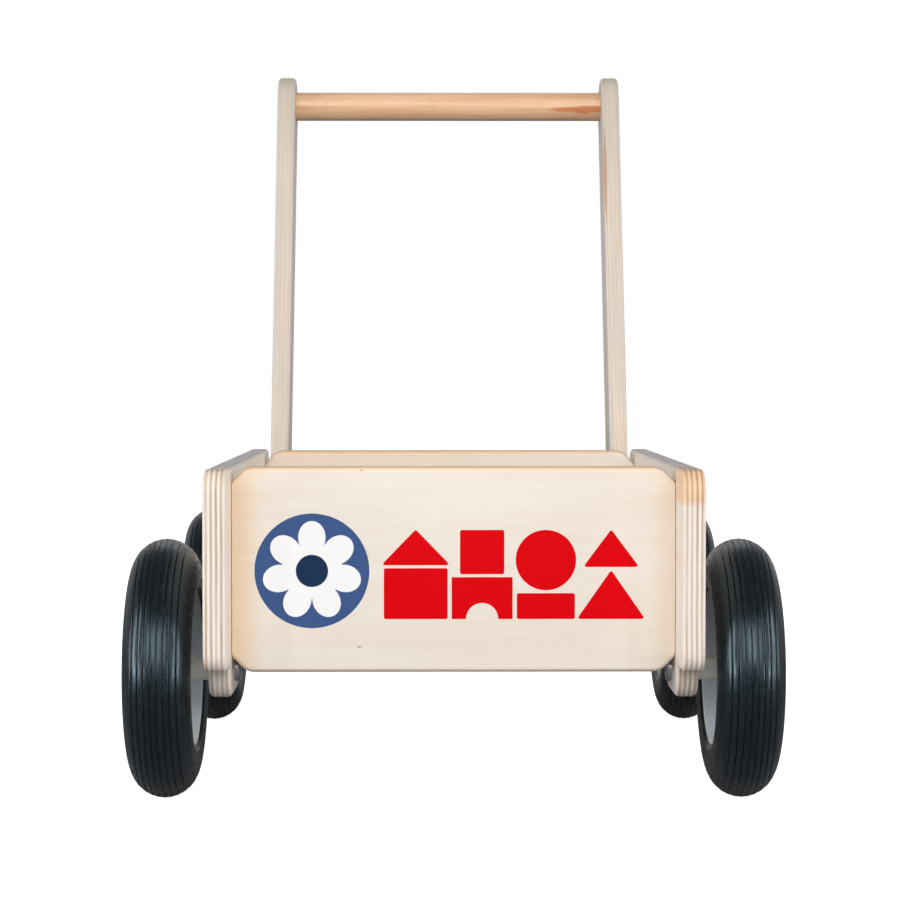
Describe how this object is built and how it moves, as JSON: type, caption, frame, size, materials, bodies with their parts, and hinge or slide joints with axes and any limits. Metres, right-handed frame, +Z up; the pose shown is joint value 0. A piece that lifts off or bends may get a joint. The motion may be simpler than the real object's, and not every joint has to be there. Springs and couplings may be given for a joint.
{
  "type": "baby walker",
  "caption": "Low plywood push cart for a child learning to walk, with an open cargo box, a leaning handle frame with a round bar, and rubber-tyred wheels that roll freely.",
  "frame": {"origin": "on the ground, under the middle of the overall box", "axes": "+Z up, +Y from the front panel towards the handle, +X to the cart's side that is on the right seen from the front"},
  "size_m": [0.3472, 0.4862, 0.4361],
  "materials": {
    "ply_side": "satin lacquered birch plywood",
    "ply_cross": "satin lacquered birch plywood",
    "ply_floor": "satin lacquered birch plywood",
    "ply_upright": "satin lacquered birch plywood",
    "dowel": "satin lacquered turned beech",
    "rubber": "semi-matt moulded rubber",
    "rim_plastic": "semi-matt moulded plastic",
    "bush_plastic": "natural nylon",
    "spacer_plastic": "semi-matt moulded plastic",
    "bolt_steel": "bright zinc plating",
    "nut_steel": "bright zinc plating",
    "screw_steel": "bright zinc plating",
    "print_blue": "printed ink",
    "print_red": "printed ink",
    "print_white": "printed ink"
  },
  "bodies": {
    "chassis": {"side_panel_left": "ply_side", "side_panel_right": "ply_side", "front_panel": "ply_cross", "rear_panel": "ply_cross", "floor_panel": "ply_floor", "handle_upright_left": "ply_upright", "handle_upright_right": "ply_upright", "handle_bar": "dowel", "axle_bolt_front_left": "bolt_steel", "spacer_front_left": "spacer_plastic", "sleeve_nut_front_left": "nut_steel", "axle_bolt_front_right": "bolt_steel", "spacer_front_right": "spacer_plastic", "sleeve_nut_front_right": "nut_steel", "axle_bolt_rear_left": "bolt_steel", "spacer_rear_left": "spacer_plastic", "sleeve_nut_rear_left": "nut_steel", "axle_bolt_rear_right": "bolt_steel", "spacer_rear_right": "spacer_plastic", "sleeve_nut_rear_right": "nut_steel", "panel_screws_left": "screw_steel", "panel_screws_right": "screw_steel", "handle_screws": "screw_steel", "upright_bolts": "bolt_steel", "upright_nuts": "nut_steel", "outer_washers": "nut_steel"},
    "wheel_front_left": {"tyre_front_left": "rubber", "wheel_rim_front_left": "rim_plastic", "wheel_bush_front_left": "bush_plastic"},
    "wheel_front_right": {"tyre_front_right": "rubber", "wheel_rim_front_right": "rim_plastic", "wheel_bush_front_right": "bush_plastic"},
    "wheel_rear_left": {"tyre_rear_left": "rubber", "wheel_rim_rear_left": "rim_plastic", "wheel_bush_rear_left": "bush_plastic"},
    "wheel_rear_right": {"tyre_rear_right": "rubber", "wheel_rim_rear_right": "rim_plastic", "wheel_bush_rear_right": "bush_plastic"}
  },
  "joints": [
    {"name": "front_left_spin", "type": "hinge", "parent": "chassis", "child": "wheel_front_left", "pos_m": [-0.1556, -0.17332, 0.07], "axis": [1, 0, 0], "continuous": true},
    {"name": "front_right_spin", "type": "hinge", "parent": "chassis", "child": "wheel_front_right", "pos_m": [0.1556, -0.17332, 0.07], "axis": [1, 0, 0], "continuous": true},
    {"name": "rear_left_spin", "type": "hinge", "parent": "chassis", "child": "wheel_rear_left", "pos_m": [-0.1556, 0.12468, 0.07], "axis": [1, 0, 0], "continuous": true},
    {"name": "rear_right_spin", "type": "hinge", "parent": "chassis", "child": "wheel_rear_right", "pos_m": [0.1556, 0.12468, 0.07], "axis": [1, 0, 0], "continuous": true}
  ]
}
